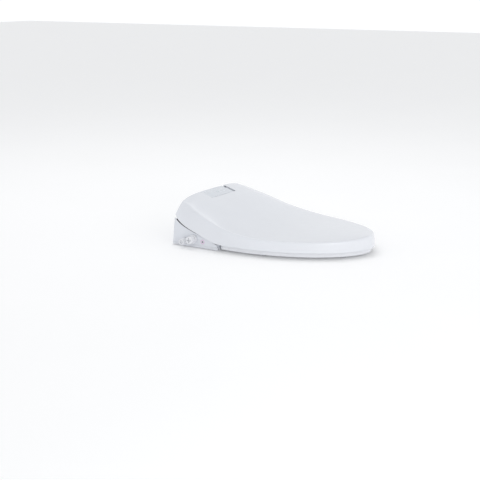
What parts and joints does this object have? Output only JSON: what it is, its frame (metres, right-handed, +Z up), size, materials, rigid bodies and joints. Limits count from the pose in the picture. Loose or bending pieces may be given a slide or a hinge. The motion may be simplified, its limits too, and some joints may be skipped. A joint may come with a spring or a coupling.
{
  "type": "electric bidet seat",
  "caption": "White electric bidet toilet seat: slide-on unit with soft-close heated seat and lid on one hinge line, retracting wash nozzle, side drain knob and water inlet.",
  "frame": {"origin": "on the deck plane under the mounting plate, halfway between the two fixing bolts", "axes": "+Z up, -Y towards the front tip of the seat, +X towards the sitter's left, the side with the cable gland"},
  "size_m": [0.419, 0.5358, 0.1997],
  "materials": {
    "lid_white": "gloss",
    "seat_white": "gloss",
    "case_white": "satin gloss",
    "tray_white": "satin",
    "panel_grey": "gloss",
    "lamp_mint": "gloss",
    "plain_plastic": "matte",
    "dark_plastic": "matte",
    "knob_white": "satin gloss",
    "ring_rose": "matte",
    "rubber": "matte",
    "bumper_grey": "matte",
    "steel": "satin",
    "heater_foil": "satin",
    "board_green": "satin",
    "filter_grey": "matte"
  },
  "bodies": {
    "mount": {"base_plate": "plain_plastic", "bolt_left": "steel", "bolt_right": "steel", "bushing_left": "rubber", "bushing_right": "rubber", "washer_left": "steel", "washer_right": "steel", "nut_left": "steel", "nut_right": "steel"},
    "unit": {"lower_case": "tray_white", "upper_case": "case_white", "top_panel": "panel_grey", "status_lamp": "lamp_mint", "hinge_pin_left": "steel", "hinge_pin_right": "steel", "pin_cap_left": "dark_plastic", "pin_cap_right": "dark_plastic", "seat_damper": "dark_plastic", "lid_damper": "dark_plastic", "nozzle_guide": "plain_plastic", "nozzle_motor": "dark_plastic", "water_tank": "plain_plastic", "tank_sensor": "dark_plastic", "inlet_valve": "plain_plastic", "water_inlet": "knob_white", "inlet_filter": "knob_white", "water_pump": "dark_plastic", "drain_collar": "knob_white", "marker_ring": "ring_rose", "marker_dot": "dark_plastic", "dryer_housing": "plain_plastic", "dryer_duct": "plain_plastic", "dryer_grille": "case_white", "deodorizer_housing": "plain_plastic", "filter_cartridge": "filter_grey", "presence_sensor": "dark_plastic", "circuit_board": "board_green", "transformer": "dark_plastic", "relay": "dark_plastic", "capacitor": "steel", "cable_gland": "dark_plastic"},
    "seat": {"seat_top": "seat_white", "seat_bottom": "tray_white", "seat_heater": "heater_foil", "seat_bumper_front_left": "bumper_grey", "seat_bumper_front_right": "bumper_grey", "seat_bumper_rear_left": "bumper_grey", "seat_bumper_rear_right": "bumper_grey"},
    "lid": {"lid": "lid_white", "lid_bumper_left": "bumper_grey", "lid_bumper_right": "bumper_grey"},
    "release_button": {"release_button": "case_white"},
    "knob": {"drain_knob": "knob_white", "drain_plug": "plain_plastic"},
    "nozzle": {"nozzle_tube": "steel", "nozzle_tip": "knob_white"},
    "shutter": {"nozzle_shutter": "case_white"},
    "dryer_wheel": {"dryer_fan": "dark_plastic"},
    "deodorizer_wheel": {"deodorizer_fan": "dark_plastic"}
  },
  "joints": [
    {"name": "unit_slide", "type": "slide", "parent": "mount", "child": "unit", "axis": [0, -1, 0], "range_m": [0, 0.05]},
    {"name": "seat_hinge", "type": "hinge", "parent": "unit", "child": "seat", "pos_m": [0, 0.0445, 0.085], "axis": [-1, 0, 0], "range_deg": [0, 98]},
    {"name": "lid_hinge", "type": "hinge", "parent": "seat", "child": "lid", "pos_m": [0, 0.0445, 0.085], "axis": [1, 0, 0], "range_deg": [-98, 0]},
    {"name": "release_press", "type": "slide", "parent": "unit", "child": "release_button", "axis": [-1, 0, 0], "range_m": [0, 0.003], "stiffness_N_per_m": 400, "springref_m": -0.004},
    {"name": "knob_turn", "type": "hinge", "parent": "unit", "child": "knob", "pos_m": [-0.2, -0.015, 0.0255], "axis": [-1, 0, 0], "range_deg": [0, 180]},
    {"name": "nozzle_slide", "type": "slide", "parent": "unit", "child": "nozzle", "axis": [0, -0.8387, -0.5446], "range_m": [0, 0.085]},
    {"name": "shutter_swing", "type": "hinge", "parent": "unit", "child": "shutter", "pos_m": [0, -0.0905, 0.0272], "axis": [-1, 0, 0], "range_deg": [0, 72.5]},
    {"name": "dryer_spin", "type": "hinge", "parent": "unit", "child": "dryer_wheel", "pos_m": [0.115, -0.06, 0.0108], "axis": [0, 0, 1], "continuous": true},
    {"name": "deodorizer_spin", "type": "hinge", "parent": "unit", "child": "deodorizer_wheel", "pos_m": [-0.125, -0.06, 0.0108], "axis": [0, 0, 1], "continuous": true}
  ],
  "couplings": [
    {"joint": "shutter_swing", "follows": "nozzle_slide", "rad_per_m": 14.784}
  ]
}
